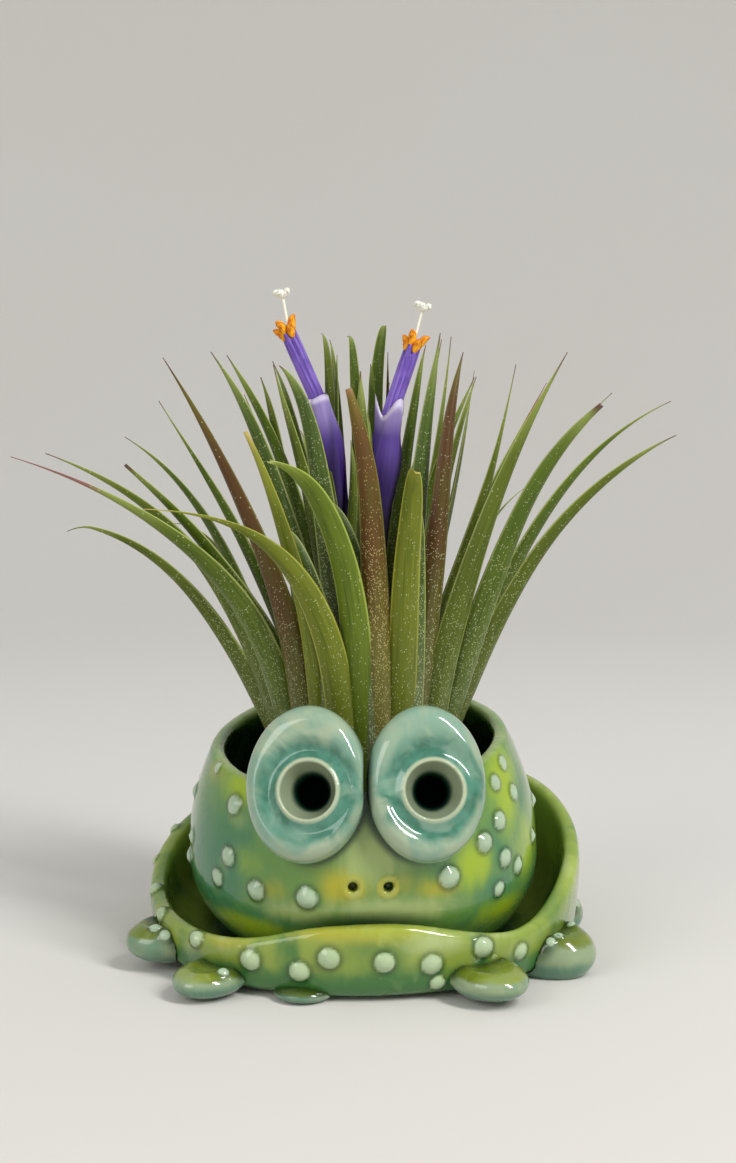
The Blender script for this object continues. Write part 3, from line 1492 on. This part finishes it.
YOUNG_LEAVES = (
    Leaf(Ring.INNER, 0.620, 0.560, 0.13, 0.86, 0.30, 0.70, 0.55, OLIVE, Tip.SLENDER),
    Leaf(Ring.INNER, 0.700, 0.640, 0.05, 0.83, 0.30, 0.70, 0.50, OLIVE, Tip.SLENDER),
    Leaf(Ring.INNER, 0.400, 0.420, 0.16, 0.93, 0.30, 0.80, 0.55, GREEN, Tip.SLENDER),
    Leaf(Ring.INNER, 0.180, 0.150, 0.13, 0.92, 0.30, 0.80, 0.55, OLIVE, Tip.SLENDER),
    Leaf(Ring.INNER, 0.820, 0.780, 0.06, 0.87, 0.30, 0.80, 0.50, GREEN, Tip.SLENDER),
    Leaf(Ring.INNER, 0.980, 0.990, 0.31, 0.93, 0.40, 0.60, 0.55, GREEN, Tip.SLENDER),
    Leaf(Ring.INNER, 0.340, 0.360, 0.15, 0.99, 0.25, 0.90, 0.75, OLIVE, Tip.SLENDER),
    Leaf(Ring.INNER, 0.430, 0.400, 0.09, 0.965, 0.25, 0.90, 0.65, GREEN, Tip.SLENDER),
    Leaf(Ring.INNER, 0.160, 0.200, 0.06, 0.95, 0.25, 0.90, 0.60, GREEN, Tip.SLENDER),
    Leaf(Ring.INNER, 0.060, 0.030, 0.225, 0.99, 0.50, 0.50, 0.75, OLIVE, Tip.SLENDER),
    Leaf(Ring.INNER, 0.480, 0.470, 0.26, 0.955, 0.40, 0.70, 0.75, GREEN, Tip.SLENDER),
    Leaf(Ring.MIDDLE, 0.500, 0.480, 0.29, 0.93, 0.35, 0.70, 0.80, OLIVE, Tip.SLENDER),
    Leaf(Ring.MIDDLE, 0.400, 0.430, 0.38, 0.90, 0.40, 0.65, 0.85, GREEN, Tip.SLENDER),
    Leaf(Ring.MIDDLE, 0.080, 0.070, 0.36, 0.93, 0.40, 0.65, 0.85, OLIVE, Tip.SLENDER),
    Leaf(Ring.OUTER, 0.770, 0.640, 0.18, 0.74, 0.10, 0.90, 1.00, SILVER, Tip.SLENDER),
    Leaf(Ring.OUTER, 0.840, 0.860, 0.22, 0.76, 0.20, 0.90, 0.95, SILVER, Tip.SLENDER),
    Leaf(Ring.OUTER, 0.700, 0.620, 0.30, 0.70, 0.20, 0.85, 1.00, SILVER, Tip.SLENDER),
)


@dataclass(frozen=True)
class FlowerPlace:
    """One flower: turn, reach and level of its low point, mouth, filament end and stigma."""

    name: str
    root: tuple[float, float]
    low: Spot
    mouth: Spot
    end: Spot
    stigma: Spot
    lobe_rise: float
    curl: float
    pale_from: float


FLOWERS = (
    FlowerPlace("left_flower", (0.560, 0.16), (0.500, 0.065, 0.724), (0.531, 0.131, 0.898),
                (0.519, 0.205, 0.995), (0.518, 0.223, 1.055), 0.6, 0.35, 0.86),
    FlowerPlace("right_flower", (0.900, 0.24), (0.980, 0.034, 0.700), (0.920, 0.085, 0.870),
                (0.985, 0.137, 0.973), (0.988, 0.165, 1.034), 4.5, 1.5, 0.93),
)


class BulbFinish:
    """The dry, scaly skin of the bulb."""

    pale = colour(150, 146, 92)
    green = colour(112, 118, 58)
    gap = colour(92, 66, 40)
    stretch = (1.0, 1.0, 0.15)
    grain_scale = 900.0
    grain_range = (0.3, 0.7)
    gap_range = (0.35, 0.0)
    relief = 0.2 * MM
    roughness = 0.7

    def material(self) -> bpy.types.Material:
        """The finish with its shader nodes."""
        made, wires = new_finish("scaly bulb")
        place = wires.stretched(wires.place(), self.stretch)
        grain = wires.clouds(place, self.grain_scale, detail=3)
        tone = wires.blend(wires.step(grain, *self.grain_range), self.pale, self.green)
        tone = wires.blend(wires.step(wires.number("rib"), *self.gap_range), tone, self.gap)
        shader = wires.dress(tone, grain, self.relief)
        shader.inputs["Roughness"].default_value = self.roughness
        return made


class PetalFinish:
    """Violet petals, deep below, pale grey near the mouth and white at their curled rims."""

    violet = colour(76, 50, 134)
    grey = colour(146, 130, 186)
    grey_end = 0.98
    deeper = ((0.92, 0.76, colour(42, 14, 88)), (0.78, 0.66, colour(20, 4, 50)))
    vein = colour(86, 60, 148)
    vein_stretch = (1.6, 0.06, 0.0)
    vein_range = (0.45, 0.75, 0.0, 0.25)
    rim = colour(206, 196, 218)
    rim_run = (0.975, 0.998)
    relief = 0.1 * MM
    roughness = 0.5

    def material(self, flower: FlowerPlace) -> bpy.types.Material:
        """The finish of one flower's petals.

        Args:
            flower: The flower, whose tube turns grey from its own height.

        Returns:
            The material.
        """
        made, wires = new_finish(f"violet petal of the {flower.name}")
        parts = wires.add("ShaderNodeSeparateXYZ")
        wires.feed(parts.inputs[0], wires.vector("skin"))
        share = parts.outputs["Z"]
        place = wires.stretched(wires.vector("skin"), self.vein_stretch)
        veins = wires.clouds(place, scale=1.0, detail=3)
        greying = wires.step(share, flower.pale_from, self.grey_end)
        tone = wires.blend(greying, self.violet, self.grey)
        for high, low, deep in self.deeper:
            tone = wires.blend(wires.step(share, high, low), tone, deep)
        tone = wires.blend(wires.step(veins, *self.vein_range), tone, self.vein)
        tone = wires.blend(wires.step(share, *self.rim_run), tone, self.rim)
        shader = wires.dress(tone, veins, self.relief)
        shader.inputs["Roughness"].default_value = self.roughness
        return made


@dataclass(frozen=True)
class GrainFinish:
    """A finish of two tones stirred by fine noise, with a soft grain."""

    name: str
    low: Colour
    high: Colour
    scale: float
    roughness: float
    stretch: Spot = (1.0, 0.12, 1.0)
    tone_range: Span = (0.35, 0.65)
    relief: float = 0.12 * MM

    def material(self) -> bpy.types.Material:
        """The finish with its shader nodes, made once."""
        known = bpy.data.materials.get(self.name)
        if known:
            return known
        made, wires = new_finish(self.name)
        place = wires.stretched(wires.vector("skin"), self.stretch)
        grain = wires.clouds(place, self.scale, detail=3)
        tone = wires.blend(wires.step(grain, *self.tone_range), self.low, self.high)
        shader = wires.dress(tone, grain, self.relief)
        shader.inputs["Roughness"].default_value = self.roughness
        return made


FILAMENT = GrainFinish("violet filament", colour(80, 48, 142), colour(132, 102, 194), 1.3, 0.5)
POLLEN = GrainFinish("orange pollen", colour(196, 98, 4), colour(248, 176, 22), 3.0, 0.85)
STIGMA = GrainFinish("cream stigma", colour(226, 226, 204), colour(246, 246, 236), 2.0, 0.6)


@dataclass
class AirPlant:
    """The plant that stands in the pot: bulb, leaves and flowers."""

    reach: float = 80 * MM
    rise: float = 140 * MM
    crown_reach: float = 13 * MM
    pot_mouth: float = 50 * MM
    leaf_width: float = 5.7 * MM
    width_shares: tuple[float, ...] = (0.80, 1.05, 1.18, 1.20, 1.14, 1.04)
    channel_share: float = 0.24
    set_back_share: float = 0.19
    thick_share: float = 0.07
    roll: float = 0.85
    edge_share: float = 0.012
    leaf_around: int = 16
    leaf_along: int = 46
    crowding: float = 1.15
    twist: float = 0.25
    sway: float = 0.05
    sway_waves: float = 9.0
    roll_start: float = 3.0
    least_width: float = 0.22 * MM
    least_thick: float = 0.07 * MM
    ripple: float = 0.25 * MM
    ripple_waves: float = 14.0
    hook_start: float = 0.93
    crown_grain: float = 0.4 * MM
    scale_waves: float = 4.5
    scale_rise: float = 9 * MM
    scale_depth: float = 0.5 * MM
    flower_root: float = 42.6 * MM
    flower_steer: Span = (0.4, 0.3)
    petal_reach: float = 2.4 * MM
    petal_shares: tuple[float, ...] = (0.50, 0.55, 0.65, 0.80, 0.98, 1.15, 1.50, 0.95)
    filament_reach: float = 1.7 * MM
    filament_shares: tuple[float, ...] = (0.44, 0.50, 0.46, 0.30)
    filament_spread: float = 0.62
    filament_swirl: float = 0.35
    filament_flare: float = 1.25
    filament_depth: float = 4 * MM
    filament_ends: Span = (-0.6 * MM, 0.8 * MM)
    stamens: int = 6
    anther_bow: float = 1.5 * MM
    anther_path: tuple[Span, ...] = ((-0.3, 0.2), (1.0, 0.0), (2.4, 0.45), (3.2, 1.1))
    anther_reaches: tuple[float, ...] = (0.12, 0.74, 0.82, 0.68, 0.15)
    style_reach: float = 0.30 * MM
    stigma_lobes: int = 5
    lobe_path: tuple[Span, ...] = ((-0.2, 0.0), (0.8, 0.7), (1.5, 1.5), (0.9, 2.0))
    lobe_reaches: tuple[float, ...] = (0.2, 0.62, 0.66, 0.45, 0.1)
    skin: LeafSkin = field(default_factory=LeafSkin)
    finishes: dict[str, bpy.types.Material] = field(default_factory=dict)

    def build(self) -> None:
        """Makes every piece of the plant."""
        self.chance = random.Random(SEED)
        self.make_crown()
        rings = (("outer", OUTER_LEAVES), ("middle", MIDDLE_LEAVES), ("inner", INNER_LEAVES))
        for ring, leaves in rings:
            for number, leaf in enumerate(leaves, 1):
                self.make_blade(f"{ring}_blade_{number:02d}", leaf, f"{ring}_leaf_{number:02d}")
        for number, leaf in enumerate(YOUNG_LEAVES, 1):
            self.make_blade(f"young_blade_{number:02d}", leaf)
        for flower in FLOWERS:
            self.make_flower(flower)

    def hand_over(
        self, piece: bpy.types.Object, finish: bpy.types.Material, slot: str, *nodes: str,
    ) -> None:
        """Gives a piece of the plant its finish and its place in the frame.

        Args:
            piece: The piece.
            finish: Its material.
            slot: The record's slot that it stands for.
            nodes: The CAD nodes that it replaces.
        """
        piece.data.materials.append(finish)
        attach(piece, PLANT)
        if nodes:
            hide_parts(*nodes)

    def finish_of(self, tone: LeafTone) -> bpy.types.Material:
        """The material of a leaf tone, made once."""
        if tone.name not in self.finishes:
            self.finishes[tone.name] = tone.material(self.skin)
        return self.finishes[tone.name]

    def place_of(self, spot: Spot) -> Vector:
        """A point of the plant from its turn and its shares of reach and rise."""
        return on_turn(spot[0], self.reach * spot[1], self.rise * spot[2])

    def make_blade(self, name: str, leaf: Leaf, *nodes: str) -> None:
        """One leaf as a channelled, tapering blade.

        Args:
            name: The piece's name.
            leaf: Its place and looks.
            nodes: The CAD nodes that it replaces.
        """
        root_reach, root_level, steer_reach, steer_level = leaf.ring.value
        root = on_turn(leaf.root_turn, self.crown_reach * root_reach, self.pot_mouth * root_level)
        steer = on_turn(
            leaf.root_turn, self.crown_reach * steer_reach, self.pot_mouth * steer_level,
        )
        tip = self.place_of((leaf.tip_turn, leaf.reach, leaf.level))
        shoulder = Vector((
            steer.x + (tip.x - steer.x) * leaf.bend_out,
            steer.y + (tip.y - steer.y) * leaf.bend_out,
            steer.z + (tip.z - steer.z) * leaf.bend_up,
        ))
        controls = (root, steer, shoulder, tip)
        root_side = on_turn(leaf.root_turn + 0.25, 1, 0)
        tip_side = on_turn(leaf.tip_turn + 0.25, 1, 0)
        widths = self.width_shares + leaf.tip.value
        length = (tip - root).length / MM
        wave = self.chance.uniform(0, FULL_TURN)
        twist = self.chance.uniform(-self.twist, self.twist)
        roll = -self.roll * math.cos(FULL_TURN * (leaf.root_turn + leaf.tip_turn) / 2)
        if abs(leaf.root_turn - leaf.tip_turn) > 0.5:
            roll = -self.roll

        def turned_sides(side: Vector, heading: Vector, share: float) -> tuple[Vector, Vector]:
            """The blade's own way across and its way inwards, rolled and twisted."""
            across = (side - heading * side.dot(heading)).normalized()
            inward = heading.cross(across)
            swing = twist * share + self.sway * math.sin(wave + self.sway_waves * share)
            swing += roll * min(share * self.roll_start, 1)
            return (
                across * math.cos(swing) + inward * math.sin(swing),
                inward * math.cos(swing) - across * math.sin(swing),
            )

        def rule(turn: float, share: float) -> tuple[Vector, Spot]:
            """Where one point of the blade goes."""
            share = 1 - (1 - share) ** self.crowding
            point, heading = bend(controls, share)
            side = root_side * (1 - share) + tip_side * share
            across, inward = turned_sides(side, heading, share)
            width = self.leaf_width * leaf.width * through(widths, share)
            width = max(width, self.least_width)
            angle = FULL_TURN * turn
            over = math.cos(angle)
            thick = width * (self.edge_share + self.thick_share * (1 - over * over))
            rise = max(thick, self.least_thick) * math.sin(angle)
            middle = width * (self.channel_share * over * over - self.set_back_share)
            ripple = self.ripple * math.sin(wave + self.ripple_waves * share) * share
            place = point + across * (over * width / 2 + ripple) + inward * (middle + rise)
            curl = max(share - self.hook_start, 0) / (1 - self.hook_start)
            place.z -= leaf.hook * MM * curl * curl
            return place, (over * width / 2 / MM, share * length, share)

        piece = wrapped(name, self.leaf_around, self.leaf_along, rule)
        mesh = piece.data
        marks = np.zeros(len(mesh.vertices) * 3)
        mesh.attributes["skin"].data.foreach_get("vector", marks)
        halves = [
            self.leaf_width * leaf.width * through(widths, float(share)) / 2 / MM
            for share in marks.reshape(-1, 3)[:, 2]
        ]
        half = mesh.attributes.new("half", "FLOAT", "POINT")
        half.data.foreach_set("value", np.array(halves, dtype=np.float32))
        self.hand_over(piece, self.finish_of(leaf.tone), "leaf", *nodes)

    def make_crown(self) -> None:
        """The bulb, wrapped in the pale bases of the leaves."""
        clay = ClayPiece("scaly_crown", ("plant_crown",), self.crown_grain, rounds=4)
        angle = np.arctan2(clay.points[:, 1], clay.points[:, 0])
        waves = angle * self.scale_waves + clay.points[:, 2] / self.scale_rise
        ribs = np.abs(np.sin(waves))
        clay.points += clay.normals * ((ribs - 1) * self.scale_depth)[:, None]
        clay.write()
        clay.paint("rib", ribs)
        clay.hand_over(BulbFinish().material(), "bulb", PLANT)

    def tube(
        self, name: str, places: Sequence[Vector], reaches: Sequence[float],
        around: int, along: int, ruffle: float = 0.0,
    ) -> bpy.types.Object:
        """A round stalk through a few places.

        Args:
            name: The piece's name.
            places: Points that it runs through.
            reaches: Its radius at even steps.
            around: Faces round it.
            along: Faces along it.
            ruffle: How far its surface is stirred.

        Returns:
            The stalk.
        """
        axes = [[place[axis] for place in places] for axis in range(3)]
        length = sum((b - a).length for a, b in zip(places, places[1:])) / MM
        aside = Vector((0.3, 1, 0.1))
        ahead_share, ruffles, ruffle_climb = 0.02, 7, 11
        least_reach, skin_width = 0.01 * MM, 0.6

        def rule(turn: float, share: float) -> tuple[Vector, Spot]:
            """Where one point of the stalk goes."""
            here = Vector([through(axis, share) for axis in axes])
            ahead = Vector([through(axis, min(share + ahead_share, 1)) for axis in axes])
            behind = Vector([through(axis, max(share - ahead_share, 0)) for axis in axes])
            heading = (ahead - behind).normalized()
            side = heading.cross(aside).normalized()
            other = heading.cross(side)
            angle = FULL_TURN * (turn % 1.0)
            out = side * math.cos(angle) + other * math.sin(angle)
            folds = math.sin(ruffles * angle + ruffle_climb * share) * math.sin(math.pi * share)
            reach = max(through(reaches, share) * (1 + ruffle * folds), least_reach)
            return here + out * reach, (angle * skin_width, share * length, share)

        return wrapped(name, around, along, rule)

    def make_flower(self, flower: FlowerPlace) -> None:
        """One flower: rolled petals, filaments, anthers and style."""
        root_turn, root_share = flower.root
        root = on_turn(root_turn, self.crown_reach * root_share, self.flower_root)
        low = self.place_of(flower.low)
        mouth = self.place_of(flower.mouth)
        end = self.place_of(flower.end)
        climb = mouth.z - root.z
        lean = (mouth - low).normalized()
        rise, fall = self.flower_steer
        steer = root + Vector((0, 0, climb * rise))
        self.make_petals(flower, (root, steer, mouth - lean * climb * fall, mouth))
        self.make_stamens(flower, mouth, end)
        self.make_style(flower, end, self.place_of(flower.stigma))

    def make_petals(self, flower: FlowerPlace, controls: Sequence[Vector]) -> None:
        """Three petals rolled into a tube with curled rims.

        Args:
            flower: The flower.
            controls: The four control points of the tube's middle line.
        """
        petals, swirl, fold = 3, 0.6, 0.08
        outer_part, tuck, narrowing, drop = 0.90, 0.10, 0.25, 0.4
        rim_start, rim_least, skin_width = 0.94, 0.35, 2.4
        faces_around, faces_along = 36, 60
        length = (controls[3] - controls[0]).length / MM

        def rule(turn: float, share: float) -> tuple[Vector, Spot]:
            """Where one point goes: up the outside, over the rim and down inside."""
            turned = turn % 1.0
            lobe = 0.5 + 0.5 * math.cos(FULL_TURN * petals * turned)
            saw = (petals * turned + swirl * share) % 1.0
            up = min(share / outer_part, 1.0)
            inside = max(share - outer_part, 0) / (1 - outer_part)
            path = up - tuck * inside
            here, heading = bend(controls, path)
            side = heading.cross(Vector((0, 1, 0))).normalized()
            other = side.cross(heading)
            angle = FULL_TURN * turned
            out = side * math.cos(angle) + other * math.sin(angle)
            rim = max(up - rim_start, 0) / (1 - rim_start)
            flare = rim * (1 - inside) * flower.curl * MM * (rim_least + (1 - rim_least) * lobe)
            reach = self.petal_reach * through(self.petal_shares, path) * (1 + fold * saw)
            reach = reach * (1 - narrowing * inside) + flare
            lift = rim * lobe * flower.lobe_rise * MM * (1 - inside * drop)
            marks = (angle * skin_width, path * length, 1.0 if inside else up)
            return here + out * reach + heading * lift, marks

        piece = wrapped(f"{flower.name}_rolled_petals", faces_around, faces_along, rule)
        self.hand_over(piece, PetalFinish().material(flower), "petal", f"{flower.name}_petals")

    def make_stamens(self, flower: FlowerPlace, mouth: Vector, end: Vector) -> None:
        """A bundle of filaments, each with a curved anther at its end.

        Args:
            flower: The flower.
            mouth: The middle of its petals' mouth.
            end: Where the bundle ends.
        """
        along = (end - mouth).normalized()
        side = along.cross(Vector((0, 1, 0))).normalized()
        other = along.cross(side)
        spread = self.filament_reach * self.filament_spread
        reaches = [self.filament_reach * share for share in self.filament_shares]
        anther_reaches = [reach * MM for reach in self.anther_reaches]
        filaments = []
        anthers = []
        for index in range(self.stamens):
            angle = FULL_TURN * index / self.stamens
            out = side * math.cos(angle) + other * math.sin(angle)
            swirled = angle + self.filament_swirl
            turned = side * math.cos(swirled) + other * math.sin(swirled)
            start = mouth - along * self.filament_depth + turned * spread
            middle = (mouth + end) / 2 + out * spread
            top = end + out * spread * self.filament_flare
            top += along * self.filament_ends[index % 2]
            filaments.append(self.tube(
                f"{flower.name}_thread_{index + 1}", (start, middle, top), reaches,
                around=10, along=16,
            ))
            places = [
                top + along * climb * MM + out * self.anther_bow * bent
                for climb, bent in self.anther_path
            ]
            anthers.append(self.tube(
                f"{flower.name}_anther_{index + 1}", places, anther_reaches,
                around=12, along=16, ruffle=0.2,
            ))
        bundle = joined_piece(f"{flower.name}_filament_bundle", filaments)
        self.hand_over(bundle, FILAMENT.material(), "filament", f"{flower.name}_filaments")
        pollen = joined_piece(f"{flower.name}_pollen_anthers", anthers)
        self.hand_over(pollen, POLLEN.material(), "anther", f"{flower.name}_anthers")

    def make_style(self, flower: FlowerPlace, end: Vector, stigma: Vector) -> None:
        """The thin style with its ruffled white stigma.

        Args:
            flower: The flower.
            end: Where the filaments end.
            stigma: Where the stigma starts.
        """
        up = (stigma - end).normalized()
        side = up.cross(Vector((0, 1, 0))).normalized()
        other = up.cross(side)
        lobe_reaches = [reach * MM for reach in self.lobe_reaches]
        parts = [self.tube(
            f"{flower.name}_stem", (end - up * MM, (end + stigma) / 2, stigma),
            [self.style_reach] * 3, around=10, along=12,
        )]
        for index in range(self.stigma_lobes):
            angle = FULL_TURN * index / self.stigma_lobes
            out = side * math.cos(angle) + other * math.sin(angle)
            places = [
                stigma + up * climb * MM + out * reach * MM
                for climb, reach in self.lobe_path
            ]
            parts.append(self.tube(
                f"{flower.name}_lobe_{index + 1}", places, lobe_reaches,
                around=12, along=14, ruffle=0.3,
            ))
        piece = joined_piece(f"{flower.name}_ruffled_style", parts)
        self.hand_over(piece, STIGMA.material(), "stigma", f"{flower.name}_style")


@dataclass(frozen=True)
class Lamp:
    """One soft oblong lamp: its place and size in metres, and its power in watts."""

    name: str
    place: Spot
    size: Span
    power: float


@dataclass
class Studio:
    """The pale stage, the soft lamps and the camera."""

    eye: Spot = (1.14 * MM, -416.9 * MM, 135.2 * MM)
    down_degrees: float = 7.0
    lens_mm: float = 57.2
    film_mm: float = 36.0
    nearest: float = 10 * MM
    floor_reach: float = 0.5
    floor_sides: int = 96
    wall_reach: float = 1.3
    wall_rise: float = 0.8
    wall_steps: int = 14
    floor_tones: tuple[Colour, Colour] = (colour(214, 214, 208), colour(208, 202, 196))
    floor_clouds: float = 1.6
    floor_roughness: float = 0.9
    sky_tone: Colour = colour(244, 246, 250)
    sky_level: float = 0.62
    lit_point: Spot = (0, 0, 0.06)
    lamps: tuple[Lamp, ...] = (
        Lamp("key", (0.62, -0.50, 0.80), (0.16, 0.60), 9.0),
        Lamp("fill", (-0.80, -0.70, 0.55), (0.7, 0.7), 5.0),
    )

    def build(self) -> None:
        """Makes the stage, the lamps and the camera."""
        self.make_stage()
        self.make_world()
        for lamp in self.lamps:
            self.make_lamp(lamp)
        self.make_camera()
        bpy.context.scene.view_settings.view_transform = "Standard"

    def make_camera(self) -> None:
        """The camera at the photograph's angle."""
        lens = bpy.data.cameras.new("camera")
        lens.lens = self.lens_mm
        lens.sensor_width = self.film_mm
        lens.clip_start = self.nearest
        camera = bpy.data.objects.new("camera", lens)
        camera.location = self.eye
        camera.rotation_euler = (math.radians(90 - self.down_degrees), 0, 0)
        bpy.context.scene.collection.objects.link(camera)
        bpy.context.scene.camera = camera

    def make_world(self) -> None:
        """An even pale sky."""
        world = bpy.data.worlds.new("pale sky")
        world.use_nodes = True
        sky = world.node_tree.nodes["Background"]
        sky.inputs["Color"].default_value = self.sky_tone
        sky.inputs["Strength"].default_value = self.sky_level
        bpy.context.scene.world = world

    def make_lamp(self, lamp: Lamp) -> None:
        """A soft oblong lamp that faces the plant."""
        light = bpy.data.lights.new(lamp.name, "AREA")
        light.shape = "RECTANGLE"
        light.size, light.size_y = lamp.size
        light.energy = lamp.power
        stand = bpy.data.objects.new(lamp.name, light)
        stand.location = lamp.place
        aim = Vector(self.lit_point) - Vector(lamp.place)
        stand.rotation_euler = aim.to_track_quat("-Z", "Y").to_euler()
        bpy.context.scene.collection.objects.link(stand)

    def make_stage(self) -> None:
        """A round floor that curves up into a wall."""
        shape = bmesh.new()
        bmesh.ops.create_circle(
            shape, cap_ends=True, radius=self.floor_reach, segments=self.floor_sides,
        )
        rim = [edge for edge in shape.edges if edge.is_boundary]
        for step in range(1, self.wall_steps + 1):
            angle = math.pi / 2 * step / self.wall_steps
            reach = self.floor_reach + (self.wall_reach - self.floor_reach) * math.sin(angle)
            level = self.wall_rise * (1 - math.cos(angle))
            grown = bmesh.ops.extrude_edge_only(shape, edges=rim)["geom"]
            rim = [item for item in grown if isinstance(item, bmesh.types.BMEdge)]
            for vertex in {vertex for edge in rim for vertex in edge.verts}:
                way = Vector((vertex.co.x, vertex.co.y, 0)).normalized()
                vertex.co = way * reach + Vector((0, 0, level))
        bmesh.ops.recalc_face_normals(shape, faces=shape.faces)
        floor = new_piece("stage", shape)
        made, wires = new_finish("pale stage")
        shader = made.node_tree.nodes["Principled BSDF"]
        clouds = wires.clouds(wires.place(), self.floor_clouds, detail=2)
        wires.feed(shader.inputs["Base Color"], wires.blend(clouds, *self.floor_tones))
        shader.inputs["Roughness"].default_value = self.floor_roughness
        floor.data.materials.append(made)


def write_sizes() -> None:
    """Writes the model's box and the finished object's box, in metres."""
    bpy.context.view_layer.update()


def main() -> None:
    """Builds the studio, the pot and the plant."""
    Studio().build()
    log.info("studio built")
    Pot().build()
    log.info("pot built")
    AirPlant().build()
    log.info("plant built")
    write_sizes()


if __name__ == "__main__":
    main()
